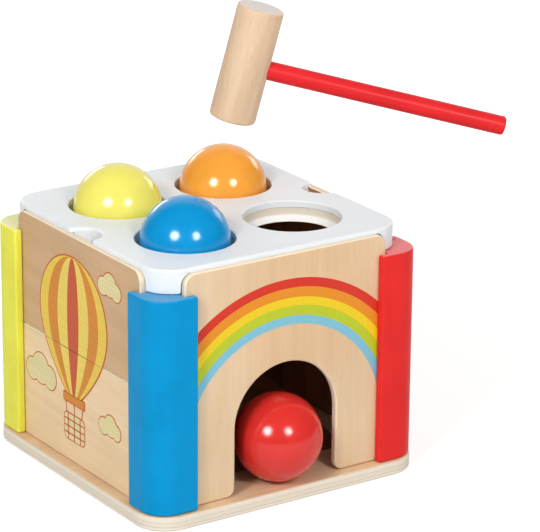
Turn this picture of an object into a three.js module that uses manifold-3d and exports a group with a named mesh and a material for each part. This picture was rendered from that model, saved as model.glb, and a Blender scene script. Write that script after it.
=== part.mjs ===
// A pounding bench: a square wooden box on a plywood base, with coloured corner posts, a moulded lid
// that holds balls in soft rings, a ramp inside, an arched gate in front, and a small hammer.
// Millimetres, +Z up. The origin is the centre of the base's underside, and -Y is the gate's side.
import * as THREE from "three";
import { mergeVertices } from "three/addons/utils/BufferGeometryUtils.js";
import Module from "manifold-3d";

// Balls and the holes they sit in
const BALL_DIAMETER = 45;
const BALL_PITCH = 63.2;
const HOLE_PLAY = 2.4;

// Soft grip rings under the lid
const RING_WALL = 1.2;
const RING_LIP_REACH = 1.1;
const RING_LIP_DEPTH = 9.8;
const RING_LIP_FALL = 1.9;
const RING_LIP_THICKNESS = 1.2;

// Moulded lid
const PLATE_THICKNESS = 3.5;
const RIM_THICKNESS = 2;
const PLATE_INSET = 2.3;
const PLATE_CORNER_RADIUS = 16;
const COLLAR_WALL = 1.8;
const COLLAR_TO_PANEL = 10.2;
const LEG_RADIUS = 9;
const LEG_FLARE = 4.5;
const LEG_FLARE_HEIGHT = 5;
const NOTCH_RADIUS = 10.5;
const NOTCH_WALL = 1.6;
const NOTCH_DEPTH = 10;

// Base, posts and panels
const BASE_THICKNESS = 7.3;
const BASE_REVEAL = 1.4;
const BASE_CORNER_RADIUS = 17.5;
const POST_SIDE = 25;
const POST_LIP = 4.6;
const POST_HEIGHT = 109.6;
const POST_CORNER_RADIUS = 13.7;
const POST_EDGE_RADIUS = 1.2;
const PANEL_THICKNESS = 4.2;
const PANEL_HEIGHT = 119.7;
const PANEL_ENGAGEMENT = 4.8;
const PANEL_CORNER_RADIUS = 6;

// Arched gate in the front panel, and the ball that lies in it
const GATE_SIDE_PLAY = 7.4;
const GATE_HEAD_PLAY = 19.1;
const GATE_FOOT_RADIUS = 4.5;
const GATE_BALL_INSET = 7.5;
const GATE_BALL_ASIDE = 0.1;

// Sloping floor and the cleat that carries its back
const RAMP_SLOPE = THREE.MathUtils.degToRad(12);
const RAMP_THICKNESS = 4;
const RAMP_SIDE_GAP = 0.6;
const RAMP_BACK_GAP = 0.6;
const RAMP_BEHIND_BALL = 17.7;
const CLEAT_DEPTH = 8;
const CLEAT_WIDTH = 90;
const CLEAT_BACK_GAP = 1;

// Fixings
const SCREW_SHANK_DIAMETER = 3.5;
const SCREW_HEAD_DIAMETER = 7.5;
const SCREW_LENGTH = 25;
const SCREW_SINK = 0.4;
const DOWEL_DIAMETER = 6;
const DOWEL_IN_POST = 10;
const DOWEL_IN_LEG = 7;
const DOWEL_COVER = 1.2;

// Hammer, and where it hangs over the back right ball
const HEAD_DIAMETER = 24;
const HEAD_LENGTH = 60;
const HEAD_CHAMFER = 1.2;
const HANDLE_DIAMETER = 9.8;
const HANDLE_HEIGHT = 28.7;
const HANDLE_REACH = 125;
const HANDLE_SEAT = 17;
const HANDLE_CHAMFER = 1;
const HAMMER_LIFT = 15.4;
const HAMMER_ASIDE = 1.7;
const HAMMER_FORWARD = 5.4;
const HAMMER_DROOP = THREE.MathUtils.degToRad(14.1);
const HAMMER_HEADING = THREE.MathUtils.degToRad(-30.4);

// Gap between pieces that touch
const FIT = 0.3;

// Facets on round shapes
const ROUND_SIDES = 32;
const BALL_SIDES = 24;
const BALL_RINGS = 14;
const LEG_SIDES = 20;
const SCREW_SIDES = 16;
const ARC_STEPS = 4;

// Plan: from the balls out to the edge of the base
const ballRadius = BALL_DIAMETER / 2;
const ballOffset = BALL_PITCH / 2;
const holeRadius = ballRadius + HOLE_PLAY;
const ringRadius = holeRadius + RING_WALL;
const collarInner = ringRadius + FIT;
const collarOuter = collarInner + COLLAR_WALL;
const panelInner = ballOffset + collarOuter + COLLAR_TO_PANEL;
const panelOuter = panelInner + PANEL_THICKNESS;
const postOuter = panelOuter + POST_LIP;
const collarCorner = ballOffset + collarOuter * Math.SQRT1_2;
const postInner = Math.max(postOuter - POST_SIDE, collarCorner + FIT);
const panelHalfWidth = postInner + PANEL_ENGAGEMENT;
const baseHalf = postOuter + BASE_REVEAL;
const plateHalf = panelOuter - PLATE_INSET;
const coreHalf = panelInner - FIT;
const plateRound = plateHalf - PLATE_CORNER_RADIUS;
const legPlace = plateRound + (PLATE_CORNER_RADIUS - LEG_RADIUS) * Math.SQRT1_2;
const screwPlace = (postInner + panelInner) / 2;

// Heights: from the table up
const floorTop = BASE_THICKNESS;
const seatTop = floorTop + FIT;
const postTop = seatTop + POST_HEIGHT;
const panelTop = seatTop + PANEL_HEIGHT;
const seamHeight = (seatTop + panelTop) / 2;
const legHeight = DOWEL_IN_LEG + FIT + DOWEL_COVER;
const coreDrop = PLATE_THICKNESS - RIM_THICKNESS;
const rimBottom = FIT + Math.max(panelTop, postTop + legHeight + coreDrop);
const coreBottom = rimBottom - coreDrop;
const plateTop = rimBottom + RIM_THICKNESS;
const lipRadius = ballRadius - RING_LIP_REACH;
const lipEdge = plateTop - RING_LIP_DEPTH;
const ballHeight = lipEdge + Math.sqrt((ballRadius + FIT) ** 2 - lipRadius ** 2);
const gateBallHeight = seatTop + ballRadius;
const gateHalfWidth = ballRadius + GATE_SIDE_PLAY;
const gateTop = seatTop + BALL_DIAMETER + GATE_HEAD_PLAY;

const wasm = await Module();
wasm.setup();

// A closed geometry as a solid that can be joined and cut
function solid(geometry) {
  const bare = geometry.clone();
  bare.deleteAttribute("normal");
  bare.deleteAttribute("uv");
  const merged = mergeVertices(bare, 1e-4);
  const mesh = new wasm.Mesh({
    numProp: 3,
    vertProperties: merged.attributes.position.array,
    triVerts: new Uint32Array(merged.index.array),
  });
  return new wasm.Manifold(mesh);
}

// A solid back as a geometry
function geometryOf(body) {
  const mesh = body.getMesh();
  const geometry = new THREE.BufferGeometry();
  geometry.setAttribute("position", new THREE.BufferAttribute(mesh.vertProperties.slice(), 3));
  geometry.setIndex(new THREE.BufferAttribute(mesh.triVerts.slice(), 1));
  return geometry;
}

// An outline drawn in X and Y, raised from one height to another
function raised(shape, bottom, top) {
  const geometry = new THREE.ExtrudeGeometry(shape, {
    depth: top - bottom,
    bevelEnabled: false,
    curveSegments: ARC_STEPS,
  });
  return geometry.translate(0, 0, bottom);
}

// An outline drawn in width and height, standing upright with its outer face at a given -Y
function standing(shape, outerFace, thickness) {
  const geometry = new THREE.ExtrudeGeometry(shape, {
    depth: thickness,
    bevelEnabled: false,
    curveSegments: ARC_STEPS * 2,
  });
  return geometry.rotateX(Math.PI / 2).translate(0, thickness - outerFace, 0);
}

// A profile of [radius, height] points turned round Z
function turned(points, sides) {
  const profile = points.map(([radius, height]) => new THREE.Vector2(radius, height));
  return new THREE.LatheGeometry(profile, sides).rotateX(Math.PI / 2);
}

function rod(radius, bottom, top, sides) {
  return turned([[0, bottom], [radius, bottom], [radius, top], [0, top]], sides);
}

function roundedRectangle(left, bottom, right, top, radius) {
  const shape = new THREE.Shape();
  shape.moveTo(left + radius, bottom);
  shape.lineTo(right - radius, bottom);
  shape.absarc(right - radius, bottom + radius, radius, -Math.PI / 2, 0, false);
  shape.lineTo(right, top - radius);
  shape.absarc(right - radius, top - radius, radius, 0, Math.PI / 2, false);
  shape.lineTo(left + radius, top);
  shape.absarc(left + radius, top - radius, radius, Math.PI / 2, Math.PI, false);
  shape.lineTo(left, bottom + radius);
  shape.absarc(left + radius, bottom + radius, radius, Math.PI, Math.PI * 1.5, false);
  return shape;
}

const bench = new THREE.Group();

function finish(color, roughness, metalness = 0) {
  return new THREE.MeshStandardMaterial({ color, roughness, metalness });
}

function addPiece(name, geometry, material, parent = bench) {
  const mesh = new THREE.Mesh(geometry, material);
  mesh.name = name;
  parent.add(mesh);
  return mesh;
}

const paleWood = finish(0xe7cba5, 0.6);
const warmWood = finish(0xd1ac82, 0.6);
const baseWood = finish(0xe2bb8f, 0.6);
const blueLacquer = finish(0x0093d9, 0.3);
const redLacquer = finish(0xe83432, 0.3);
const yellowLacquer = finish(0xf0e869, 0.25);
const orangeLacquer = finish(0xf7a53a, 0.3);
const whitePlastic = finish(0xeceef0, 0.35);
const creamRubber = finish(0xe6dccb, 0.6);
const screwSteel = finish(0xb8bcc2, 0.35, 1);

// The four corners, with the quarter turn that carries the back right one to each
const corners = [
  { name: "back_right", x: 1, y: 1, quarter: 0 },
  { name: "back_left", x: -1, y: 1, quarter: 1 },
  { name: "front_left", x: -1, y: -1, quarter: 2 },
  { name: "front_right", x: 1, y: -1, quarter: 3 },
];

// Screws: countersunk, driven up from under the base into the posts
const screwHeadRadius = SCREW_HEAD_DIAMETER / 2;
const screwShankRadius = SCREW_SHANK_DIAMETER / 2;
const screwNeck = SCREW_SINK + screwHeadRadius - screwShankRadius;
const screwTip = SCREW_SINK + SCREW_LENGTH;
const screwGeometry = turned(
  [
    [0, SCREW_SINK],
    [screwHeadRadius, SCREW_SINK],
    [screwShankRadius, screwNeck],
    [screwShankRadius, screwTip - screwShankRadius],
    [0, screwTip],
  ],
  SCREW_SIDES,
);

// The room a screw takes, a fit larger all round and open at the base's underside
const screwRoom = solid(
  turned(
    [
      [0, -FIT],
      [screwHeadRadius + FIT, -FIT],
      [screwHeadRadius + FIT, SCREW_SINK],
      [screwShankRadius + FIT, screwNeck],
      [screwShankRadius + FIT, screwTip + FIT],
      [0, screwTip + FIT],
    ],
    SCREW_SIDES,
  ),
);

// Dowels: pinned half in a post's top and half in the lid's leg
const dowelRadius = DOWEL_DIAMETER / 2;
const dowelBottom = postTop - DOWEL_IN_POST;
const dowelTop = postTop + FIT + DOWEL_IN_LEG;
const dowelGeometry = rod(dowelRadius, dowelBottom, dowelTop, SCREW_SIDES);
const dowelRoom = solid(rod(dowelRadius + FIT, dowelBottom - FIT, dowelTop + FIT, SCREW_SIDES));

// Base plate
let baseBody = solid(
  raised(
    roundedRectangle(-baseHalf, -baseHalf, baseHalf, baseHalf, BASE_CORNER_RADIUS),
    0,
    floorTop,
  ),
);
for (const corner of corners) {
  baseBody = baseBody.subtract(screwRoom.translate(corner.x * screwPlace, corner.y * screwPlace, 0));
}
addPiece("base_plate", geometryOf(baseBody), baseWood);

// Corner post: a square with its outer corner rounded and a groove for each panel's end
const grooveInner = panelInner - FIT;
const grooveOuter = panelOuter + FIT;
const grooveEnd = panelHalfWidth + FIT;
const roundCentre = postOuter - POST_CORNER_RADIUS;
const edgeCentre = postInner + POST_EDGE_RADIUS;
const edgeFace = postOuter - POST_EDGE_RADIUS;
const postShape = new THREE.Shape();
postShape.moveTo(postInner, postInner);
postShape.lineTo(grooveInner, postInner);
postShape.lineTo(grooveInner, grooveEnd);
postShape.lineTo(grooveOuter, grooveEnd);
postShape.lineTo(grooveOuter, postInner);
postShape.lineTo(edgeFace, postInner);
postShape.absarc(edgeFace, edgeCentre, POST_EDGE_RADIUS, -Math.PI / 2, 0, false);
postShape.absarc(roundCentre, roundCentre, POST_CORNER_RADIUS, 0, Math.PI / 2, false);
postShape.absarc(edgeCentre, edgeFace, POST_EDGE_RADIUS, Math.PI / 2, Math.PI, false);
postShape.lineTo(postInner, grooveOuter);
postShape.lineTo(grooveEnd, grooveOuter);
postShape.lineTo(grooveEnd, grooveInner);
postShape.lineTo(postInner, grooveInner);
const postGeometry = geometryOf(
  solid(raised(postShape, seatTop, postTop))
    .subtract(screwRoom.translate(screwPlace, screwPlace, 0))
    .subtract(dowelRoom.translate(legPlace, legPlace, 0)),
);
const postLacquers = {
  back_right: orangeLacquer,
  back_left: yellowLacquer,
  front_left: blueLacquer,
  front_right: redLacquer,
};

for (const corner of corners) {
  const post = addPiece(`post_${corner.name}`, postGeometry, postLacquers[corner.name]);
  post.rotation.z = (corner.quarter * Math.PI) / 2;
  const screw = addPiece(`base_screw_${corner.name}`, screwGeometry, screwSteel);
  screw.position.set(corner.x * screwPlace, corner.y * screwPlace, 0);
  const dowel = addPiece(`top_dowel_${corner.name}`, dowelGeometry, paleWood);
  dowel.position.set(corner.x * legPlace, corner.y * legPlace, 0);
}

// A panel's outline: square at the foot and rounded at the top corners
function panelShape(halfWidth, bottom, top, radius) {
  const shape = new THREE.Shape();
  shape.moveTo(-halfWidth, bottom);
  shape.lineTo(halfWidth, bottom);
  shape.lineTo(halfWidth, top - radius);
  shape.absarc(halfWidth - radius, top - radius, radius, 0, Math.PI / 2, false);
  shape.absarc(radius - halfWidth, top - radius, radius, Math.PI / 2, Math.PI, false);
  return shape;
}

// Front panel, with a round-headed gate whose feet are rounded off
const gateSpring = gateTop - gateHalfWidth;
const gateFoot = gateHalfWidth + GATE_FOOT_RADIUS;
const footCentre = seatTop + GATE_FOOT_RADIUS;
const frontShape = new THREE.Shape();
frontShape.moveTo(-panelHalfWidth, seatTop);
frontShape.lineTo(-gateFoot, seatTop);
frontShape.absarc(-gateFoot, footCentre, GATE_FOOT_RADIUS, -Math.PI / 2, 0, false);
frontShape.absarc(0, gateSpring, gateHalfWidth, Math.PI, 0, true);
frontShape.absarc(gateFoot, footCentre, GATE_FOOT_RADIUS, Math.PI, Math.PI * 1.5, false);
frontShape.lineTo(panelHalfWidth, seatTop);
frontShape.absarc(
  panelHalfWidth - PANEL_CORNER_RADIUS,
  panelTop - PANEL_CORNER_RADIUS,
  PANEL_CORNER_RADIUS,
  0,
  Math.PI / 2,
  false,
);
frontShape.absarc(
  PANEL_CORNER_RADIUS - panelHalfWidth,
  panelTop - PANEL_CORNER_RADIUS,
  PANEL_CORNER_RADIUS,
  Math.PI / 2,
  Math.PI,
  false,
);
addPiece("front_panel", standing(frontShape, panelOuter, PANEL_THICKNESS), paleWood);

// Back panel, plain
const wholeShape = panelShape(panelHalfWidth, seatTop, panelTop, PANEL_CORNER_RADIUS);
const back = addPiece("back_panel", standing(wholeShape, panelOuter, PANEL_THICKNESS), paleWood);
back.rotation.z = Math.PI;

// Side panels, each of two boards that meet at mid height
const upperShape = panelShape(panelHalfWidth, seamHeight + FIT / 2, panelTop, PANEL_CORNER_RADIUS);
const lowerHeight = seamHeight - FIT / 2 - seatTop;
const sides = [
  { name: "left", turn: -Math.PI / 2 },
  { name: "right", turn: Math.PI / 2 },
];
for (const side of sides) {
  const upper = standing(upperShape, panelOuter, PANEL_THICKNESS);
  const lower = new THREE.BoxGeometry(panelHalfWidth * 2, PANEL_THICKNESS, lowerHeight);
  lower.translate(0, PANEL_THICKNESS / 2 - panelOuter, seatTop + lowerHeight / 2);
  addPiece(`${side.name}_panel_upper`, upper, warmWood).rotation.z = side.turn;
  addPiece(`${side.name}_panel_lower`, lower, warmWood).rotation.z = side.turn;
}

// Lid: a plate whose rim rests on the panels and whose thicker core fits between them, with four ball
// holes, a finger notch at each side, collars for the rings, and corner legs
const plateShape = roundedRectangle(-plateHalf, -plateHalf, plateHalf, plateHalf, PLATE_CORNER_RADIUS);
const coreRadius = coreHalf - plateRound;
const coreShape = roundedRectangle(-coreHalf, -coreHalf, coreHalf, coreHalf, coreRadius);
const notchBottom = plateTop - NOTCH_DEPTH;
const notchRoom = solid(rod(NOTCH_RADIUS, notchBottom - FIT, plateTop + FIT, ROUND_SIDES));
const notchWall = solid(rod(NOTCH_RADIUS + NOTCH_WALL, notchBottom, rimBottom, ROUND_SIDES));
const legProfile = [
  [0, postTop + FIT],
  [LEG_RADIUS, postTop + FIT],
];
for (let step = 0; step <= ARC_STEPS; step += 1) {
  const turn = (step / ARC_STEPS) * (Math.PI / 2);
  const flare = LEG_RADIUS + LEG_FLARE * (1 - Math.cos(turn));
  legProfile.push([flare, rimBottom - LEG_FLARE_HEIGHT * (1 - Math.sin(turn))]);
}
legProfile.push([LEG_RADIUS + LEG_FLARE, rimBottom + RIM_THICKNESS / 2]);
legProfile.push([0, rimBottom + RIM_THICKNESS / 2]);
const legBody = solid(turned(legProfile, LEG_SIDES));
const lipBottom = lipEdge - RING_LIP_THICKNESS;
const ringTop = coreBottom - FIT;
const collarBottom = lipBottom - FIT - COLLAR_WALL;
const collarBody = solid(
  turned(
    [
      [holeRadius, collarBottom],
      [collarOuter, collarBottom],
      [collarOuter, rimBottom],
      [collarInner, rimBottom],
      [collarInner, lipBottom - FIT],
      [holeRadius, lipBottom - FIT],
      [holeRadius, collarBottom],
    ],
    ROUND_SIDES,
  ),
);
const ringRoom = solid(rod(collarInner, lipBottom - FIT, coreBottom, ROUND_SIDES));
const holeRoom = solid(rod(holeRadius, coreBottom - FIT, plateTop + FIT, ROUND_SIDES));
const panelRoom = solid(
  standing(
    panelShape(panelHalfWidth + FIT, seatTop, panelTop + FIT / 2, PANEL_CORNER_RADIUS),
    panelOuter + FIT,
    PANEL_THICKNESS + FIT * 2,
  ),
);
let panelRooms = panelRoom;
for (const quarter of [1, 2, 3]) {
  panelRooms = panelRooms.add(panelRoom.rotate([0, 0, quarter * 90]));
}
const plateColumn = solid(raised(plateShape, postTop, plateTop));
const coreColumn = solid(raised(coreShape, notchBottom, rimBottom));
const core = solid(raised(coreShape, coreBottom, rimBottom + RIM_THICKNESS / 2));
let plateBody = solid(raised(plateShape, rimBottom, plateTop)).add(core);
for (const corner of corners) {
  const ring = ringRoom.translate(corner.x * ballOffset, corner.y * ballOffset, 0);
  const leg = legBody
    .subtract(dowelRoom)
    .translate(corner.x * legPlace, corner.y * legPlace, 0)
    .intersect(plateColumn)
    .subtract(panelRooms)
    .subtract(ring);
  plateBody = plateBody.add(leg);
  plateBody = plateBody.add(collarBody.translate(corner.x * ballOffset, corner.y * ballOffset, 0));
}
for (const corner of corners) {
  plateBody = plateBody.subtract(holeRoom.translate(corner.x * ballOffset, corner.y * ballOffset, 0));
}
for (const side of [-1, 1]) {
  plateBody = plateBody.add(notchWall.translate(side * plateHalf, 0, 0).intersect(coreColumn));
  plateBody = plateBody.subtract(notchRoom.translate(side * plateHalf, 0, 0));
}
addPiece("top_plate", geometryOf(plateBody), whitePlastic);

// Soft grip ring: a wall that lines the hole, and a sloping lip that the ball sits on
const ringGeometry = turned(
  [
    [lipRadius, lipEdge],
    [lipRadius, lipBottom],
    [ringRadius, lipBottom],
    [ringRadius, ringTop],
    [holeRadius, ringTop],
    [holeRadius, lipEdge + RING_LIP_FALL],
    [lipRadius, lipEdge],
  ],
  ROUND_SIDES,
);
for (const corner of corners) {
  const ring = addPiece(`grip_ring_${corner.name}`, ringGeometry, creamRubber);
  ring.position.set(corner.x * ballOffset, corner.y * ballOffset, 0);
}

// Balls: three in their rings and one on the floor in the gate
const ballGeometry = new THREE.SphereGeometry(ballRadius, BALL_SIDES, BALL_RINGS).rotateX(Math.PI / 2);
const gateBallPlace = [GATE_BALL_ASIDE, GATE_BALL_INSET - panelOuter, gateBallHeight];
addPiece("ball_blue", ballGeometry, blueLacquer).position.set(-ballOffset, -ballOffset, ballHeight);
addPiece("ball_yellow", ballGeometry, yellowLacquer).position.set(-ballOffset, ballOffset, ballHeight);
addPiece("ball_orange", ballGeometry, orangeLacquer).position.set(ballOffset, ballOffset, ballHeight);
addPiece("ball_red", ballGeometry, redLacquer).position.set(...gateBallPlace);

// Sloping floor: its feathered foot lies behind the gate's ball and its back sits on the cleat
const rampFoot = gateBallPlace[1] + RAMP_BEHIND_BALL;
const rampBack = panelInner - RAMP_BACK_GAP;
const rampRise = Math.tan(RAMP_SLOPE);
const rampHeel = rampFoot + RAMP_THICKNESS / Math.sin(RAMP_SLOPE);
const rampHalfWidth = postInner - RAMP_SIDE_GAP;

// An outline drawn in Y and Z, run across the box in X
function across(points, halfWidth) {
  const shape = new THREE.Shape(points.map(([y, z]) => new THREE.Vector2(y, z)));
  const geometry = new THREE.ExtrudeGeometry(shape, { depth: halfWidth * 2, bevelEnabled: false });
  return geometry.rotateY(Math.PI / 2).rotateX(Math.PI / 2).translate(-halfWidth, 0, 0);
}

function rampUnderside(y) {
  return seatTop + (y - rampHeel) * rampRise;
}

const rampGeometry = across(
  [
    [rampFoot, seatTop],
    [rampHeel, seatTop],
    [rampBack, rampUnderside(rampBack)],
    [rampBack, seatTop + (rampBack - rampFoot) * rampRise],
  ],
  rampHalfWidth,
);
addPiece("ramp_board", rampGeometry, paleWood);

const cleatBack = rampBack - CLEAT_BACK_GAP;
const cleatFront = cleatBack - CLEAT_DEPTH;
const cleatGeometry = across(
  [
    [cleatFront, seatTop],
    [cleatBack, seatTop],
    [cleatBack, rampUnderside(cleatBack) - FIT],
    [cleatFront, rampUnderside(cleatFront) - FIT],
  ],
  CLEAT_WIDTH / 2,
);
addPiece("ramp_cleat", cleatGeometry, paleWood);

// Hammer: a dowel handle glued into a blind hole in the turned head. Its origin is the striking face.
const hammer = new THREE.Group();
hammer.position.set(
  ballOffset + HAMMER_ASIDE,
  ballOffset - HAMMER_FORWARD,
  ballHeight + ballRadius + HAMMER_LIFT,
);
hammer.rotation.order = "ZYX";
hammer.rotation.set(0, HAMMER_DROOP, HAMMER_HEADING);
bench.add(hammer);

const headRadius = HEAD_DIAMETER / 2;
const handleRadius = HANDLE_DIAMETER / 2;
const handleStart = headRadius - HANDLE_SEAT;
const handleEnd = headRadius + HANDLE_REACH;
const headBody = solid(
  turned(
    [
      [0, 0],
      [headRadius - HEAD_CHAMFER, 0],
      [headRadius, HEAD_CHAMFER],
      [headRadius, HEAD_LENGTH - HEAD_CHAMFER],
      [headRadius - HEAD_CHAMFER, HEAD_LENGTH],
      [0, HEAD_LENGTH],
    ],
    ROUND_SIDES,
  ),
);
const handleHole = solid(
  rod(handleRadius + FIT, handleStart - FIT, handleEnd, ROUND_SIDES)
    .rotateY(Math.PI / 2)
    .translate(0, 0, HANDLE_HEIGHT),
);
addPiece("hammer_head", geometryOf(headBody.subtract(handleHole)), paleWood, hammer);

const handleGeometry = turned(
  [
    [0, handleStart],
    [handleRadius, handleStart],
    [handleRadius, handleEnd - HANDLE_CHAMFER],
    [handleRadius - HANDLE_CHAMFER, handleEnd],
    [0, handleEnd],
  ],
  ROUND_SIDES,
);
addPiece("hammer_handle", handleGeometry.rotateY(Math.PI / 2), redLacquer, hammer).position.z = HANDLE_HEIGHT;

export default bench;
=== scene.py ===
import math

import bmesh
import bpy
from mathutils import Matrix, Vector


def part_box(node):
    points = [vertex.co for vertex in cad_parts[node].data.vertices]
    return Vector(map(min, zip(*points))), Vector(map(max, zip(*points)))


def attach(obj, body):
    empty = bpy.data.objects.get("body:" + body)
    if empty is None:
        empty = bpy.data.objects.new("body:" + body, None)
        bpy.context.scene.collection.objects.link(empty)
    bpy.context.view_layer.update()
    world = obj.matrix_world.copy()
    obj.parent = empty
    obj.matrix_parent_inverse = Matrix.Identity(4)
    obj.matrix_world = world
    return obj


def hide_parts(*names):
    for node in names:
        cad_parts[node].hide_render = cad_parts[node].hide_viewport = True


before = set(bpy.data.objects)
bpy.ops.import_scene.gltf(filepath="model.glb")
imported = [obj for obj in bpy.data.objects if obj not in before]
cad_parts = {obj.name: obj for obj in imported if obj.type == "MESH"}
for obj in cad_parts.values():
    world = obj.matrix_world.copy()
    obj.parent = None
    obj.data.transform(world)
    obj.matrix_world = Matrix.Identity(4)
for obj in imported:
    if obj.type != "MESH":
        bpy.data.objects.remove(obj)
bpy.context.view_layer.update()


# Base plate
# A square of birch plywood, 7 mm thick, sawn with round corners and sanded on every edge. The posts
# stand on it, and four countersunk holes in its underside take the screws that hold them.

base_half, base_top = 0.0802, 0.0073
base_round, base_sanding = 0.0175, 0.0009
screw_place = 0.0619
screw_bore, screw_sink = 0.00205, 0.00405
sink_straight, sink_end, bore_skin = 0.0004, 0.0024, 0.0004
hair = 1e-6


def verts_of(geom):
    """The vertices in what an operator gives back."""
    return [g for g in geom if isinstance(g, bmesh.types.BMVert)]


def edges_of(geom):
    """The edges in what an operator gives back."""
    return [g for g in geom if isinstance(g, bmesh.types.BMEdge)]


def thicken(bm, along):
    """Draws a flat outline out into a solid."""
    grown = verts_of(bmesh.ops.extrude_face_region(bm, geom=list(bm.faces))["geom"])
    bmesh.ops.translate(bm, vec=along, verts=grown)


def edges_square_to(bm, axis):
    """The edges that lie square to an axis, where 2 is the upright one."""
    return [e for e in bm.edges if abs(e.verts[0].co[axis] - e.verts[1].co[axis]) < hair]


def round_corners(bm, places, radius, segments):
    """Rounds the corners of a flat outline that stand at the given places."""
    chosen = [v for v in bm.verts if any((v.co - Vector(p)).length < hair for p in places)]
    bmesh.ops.bevel(
        bm, geom=chosen, offset=radius, offset_type="OFFSET", segments=segments, profile=0.5,
        affect="VERTICES", material=-1,
    )


def soften(bm, edges, width, segments=3):
    """Rounds edges over."""
    bmesh.ops.bevel(
        bm, geom=edges, offset=width, offset_type="OFFSET", segments=segments, profile=0.5,
        affect="EDGES", material=-1,
    )


def fill(bm, rims, **settings):
    """Closes a flat face with holes in it."""
    bmesh.ops.triangle_fill(bm, use_beauty=True, use_dissolve=False, edges=rims, **settings)


def drill(bm, face, places, steps, sides=24):
    """Bores round holes in a level face, each along (radius, height) steps."""
    level = face.verts[0].co.z
    mouth_radius = steps[0][0]
    rims = list(face.edges)
    bmesh.ops.delete(bm, geom=[face], context="FACES_ONLY")
    mouths = []
    for x, y in places:
        ring = bmesh.ops.create_circle(
            bm, cap_ends=False, segments=sides, radius=mouth_radius,
            matrix=Matrix.Translation((x, y, level)),
        )["verts"]
        mouths.append(list(dict.fromkeys(e for v in ring for e in v.link_edges)))
    fill(bm, rims + [e for mouth in mouths for e in mouth])
    for (x, y), mouth in zip(places, mouths):
        radius = mouth_radius
        for next_radius, height in steps[1:]:
            grown = bmesh.ops.extrude_edge_only(bm, edges=mouth)["geom"]
            verts, mouth = verts_of(grown), edges_of(grown)
            share = next_radius / radius
            centre = Matrix.Translation((-x, -y, 0))
            bmesh.ops.scale(bm, vec=(share, share, 1), space=centre, verts=verts)
            for v in verts:
                v.co.z = height
            radius = next_radius
        bmesh.ops.contextual_create(bm, geom=mouth)


def finished(name, bm, materials, body, nodes=(), sharp=35):
    """Makes a piece of a bmesh: faces out, soft where it curves, on its body, in its nodes' place."""
    bmesh.ops.recalc_face_normals(bm, faces=bm.faces)
    for face in bm.faces:
        face.smooth = True
    mesh = bpy.data.meshes.new(name)
    bm.to_mesh(mesh)
    bm.free()
    mesh.set_sharp_from_angle(angle=math.radians(sharp))
    for material in materials:
        mesh.materials.append(material)
    piece = bpy.data.objects.new(name, mesh)
    bpy.context.scene.collection.objects.link(piece)
    shading = piece.modifiers.new("even shading", "WEIGHTED_NORMAL")
    shading.keep_sharp = True
    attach(piece, body)
    if nodes:
        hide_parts(*nodes)
    return piece


def srgb(red, green, blue):
    """A colour picked on a screen, from 0 to 255, as the shader wants it."""
    def linear(value):
        value /= 255
        return value / 12.92 if value <= 0.04045 else ((value + 0.055) / 1.055) ** 2.4
    return (linear(red), linear(green), linear(blue), 1)


def grey(level):
    """An even grey, by which a colour is made lighter or darker."""
    return (level, level, level, 1)


def deepened(colour, share):
    """A colour with less light in it."""
    return [c * share for c in colour[:3]] + [1]


def connect(node, inputs):
    """Sets the inputs of a node, or links them where a value comes out of another node."""
    for key, value in inputs.items():
        socket = node.inputs[key]
        if isinstance(value, bpy.types.NodeSocket):
            node.id_data.links.new(value, socket)
        else:
            socket.default_value = value


def node_adder(tree):
    """A helper that adds a node to a tree, with its inputs set or linked."""
    def add(kind, inputs=None, **settings):
        node = tree.nodes.new(kind)
        for key, value in settings.items():
            setattr(node, key, value)
        connect(node, inputs or {})
        return node

    return add


def new_material(name):
    """A new node material, its shader and the helper that adds nodes to it."""
    material = bpy.data.materials.new(name)
    material.use_nodes = True
    tree = material.node_tree
    return material, tree.nodes["Principled BSDF"], node_adder(tree)


def on_toy(add):
    """Where a point lies on the toy, in metres."""
    return add("ShaderNodeTexCoord").outputs["Object"]


def shifted(add, place, scale=(1, 1, 1), location=(0, 0, 0), turn=(0, 0, 0)):
    """A pattern's place, stretched, turned and moved."""
    inputs = {"Vector": place, "Location": location, "Rotation": turn, "Scale": scale}
    return add("ShaderNodeMapping", inputs).outputs[0]


def part_of(add, vector, axis):
    """How far a vector reaches along an axis."""
    return add("ShaderNodeSeparateXYZ", {"Vector": vector}).outputs[axis]


def noise(add, place, scale, detail=2, rough=0.5, twist=0.0):
    """A cloudy pattern, finer where its scale is larger."""
    inputs = {"Vector": place, "Scale": scale, "Detail": detail, "Roughness": rough, "Distortion": twist}
    return add("ShaderNodeTexNoise", inputs).outputs["Fac"]


def ranged(add, value, given=(0, 1), wanted=(0, 1), **settings):
    """A value moved from the range that it is given in to the one that is wanted."""
    inputs = {"Value": value, "From Min": given[0], "From Max": given[1]}
    inputs |= {"To Min": wanted[0], "To Max": wanted[1]}
    return add("ShaderNodeMapRange", inputs, **settings).outputs[0]


def worked(add, operation, *values):
    """A sum on values, by its name in the Math node."""
    return add("ShaderNodeMath", dict(enumerate(values)), operation=operation).outputs[0]


def measured(add, operation, *vectors):
    """A number worked out from vectors, by its name in the Vector Math node."""
    return add("ShaderNodeVectorMath", dict(enumerate(vectors)), operation=operation).outputs["Value"]


def tones(add, factor, stops, interpolation="LINEAR"):
    """A row of colours with the given (position, colour) stops."""
    node = add("ShaderNodeValToRGB", {"Fac": factor})
    band = node.color_ramp
    band.interpolation = interpolation
    band.elements[0].position, band.elements[0].color = stops[0]
    band.elements[1].position, band.elements[1].color = stops[-1]
    for position, colour in stops[1:-1]:
        band.elements.new(position).color = colour
    return node.outputs["Color"]


def mixed(add, factor, first, second, blend="MIX"):
    """Two colours mixed by a factor."""
    inputs = {0: factor, 6: first, 7: second}
    return add("ShaderNodeMix", inputs, data_type="RGBA", blend_type=blend).outputs[2]


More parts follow.
